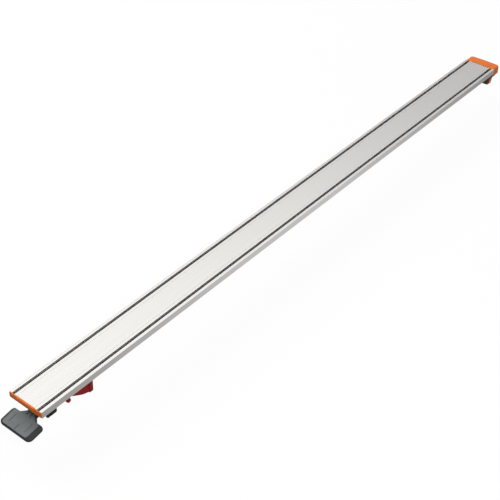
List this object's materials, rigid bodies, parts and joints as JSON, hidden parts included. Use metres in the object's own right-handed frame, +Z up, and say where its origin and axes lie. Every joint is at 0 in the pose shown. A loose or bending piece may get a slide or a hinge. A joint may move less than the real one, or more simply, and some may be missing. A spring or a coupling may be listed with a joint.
{
  "type": "clamping straight-edge guide",
  "caption": "Flat aluminium guide rail with T-slots on top, a fixed jaw at one end, a sliding jaw with a release underneath and a cam lever that clamps a board between them.",
  "frame": {"origin": "middle of the rail's top face, half way along the rail", "axes": "+X along the rail from the lever end to the fixed jaw, +Z up out of the top face, +Y across the rail"},
  "size_m": [1.4753, 0.076, 0.0481],
  "materials": {
    "aluminium": "satin anodised extrusion, fine lines along its length",
    "orange_moulding": "semi-matte orange glass-filled moulding",
    "red_moulding": "semi-matte deep red glass-filled moulding",
    "grey_moulding": "fine-textured mid-grey moulding",
    "black_paint": "black coat, fine-textured on the bracket and smooth on pins and screws",
    "steel": "bright zinc-plated steel",
    "dark_rubber": "matte dark rubber with cross grooves",
    "black_nylon": "smooth black bearing plastic"
  },
  "bodies": {
    "frame": {"rail": "aluminium", "near_end_cap": "orange_moulding", "fixed_jaw": "orange_moulding", "fixed_jaw_screws": "black_paint", "fixed_jaw_pad": "dark_rubber", "lever_bracket": "black_paint", "nut_strips": "steel", "bracket_bolts": "steel", "lever_pin": "black_paint", "pin_clip": "black_paint", "pin_spacers": "steel", "near_rod_guide": "black_nylon", "far_rod_guide": "black_nylon", "guide_screws": "steel", "return_spring": "steel"},
    "lever": {"lever_cam": "steel", "lever_grip": "grey_moulding", "grip_screws": "steel"},
    "rod": {"drive_rod": "steel", "push_block": "steel", "push_pin": "steel"},
    "jaw": {"jaw_body": "red_moulding", "jaw_pad": "dark_rubber", "jaw_glides": "black_nylon", "trigger_pin": "steel", "lock_spring": "steel"},
    "trigger": {"release_trigger": "red_moulding"},
    "lock": {"lock_plate": "steel"}
  },
  "joints": [
    {"name": "lever_swing", "type": "hinge", "parent": "frame", "child": "lever", "pos_m": [-0.6775, 0, -0.0302], "axis": [0, 1, 0], "range_deg": [-100, 10]},
    {"name": "rod_slide", "type": "slide", "parent": "frame", "child": "rod", "axis": [1, 0, 0], "range_m": [-0.00866, 0.00088], "deforming": ["return_spring"]},
    {"name": "jaw_slide", "type": "slide", "parent": "rod", "child": "jaw", "axis": [1, 0, 0], "range_m": [0, 1.2]},
    {"name": "trigger_pull", "type": "hinge", "parent": "jaw", "child": "trigger", "pos_m": [-0.6024, 0, -0.0221], "axis": [0, 1, 0], "range_deg": [0, 10.6], "stiffness_Nm_per_rad": 0.4, "springref_deg": -14.32},
    {"name": "lock_tilt", "type": "hinge", "parent": "jaw", "child": "lock", "pos_m": [-0.6081, 0, -0.00385], "axis": [0, 1, 0], "range_deg": [0, 3.52], "deforming": ["lock_spring"]}
  ],
  "couplings": [
    {"joint": "rod_slide", "follows": "lever_swing", "m_per_rad": 0.00495},
    {"joint": "lock_tilt", "follows": "trigger_pull", "ratio": 0.33}
  ]
}
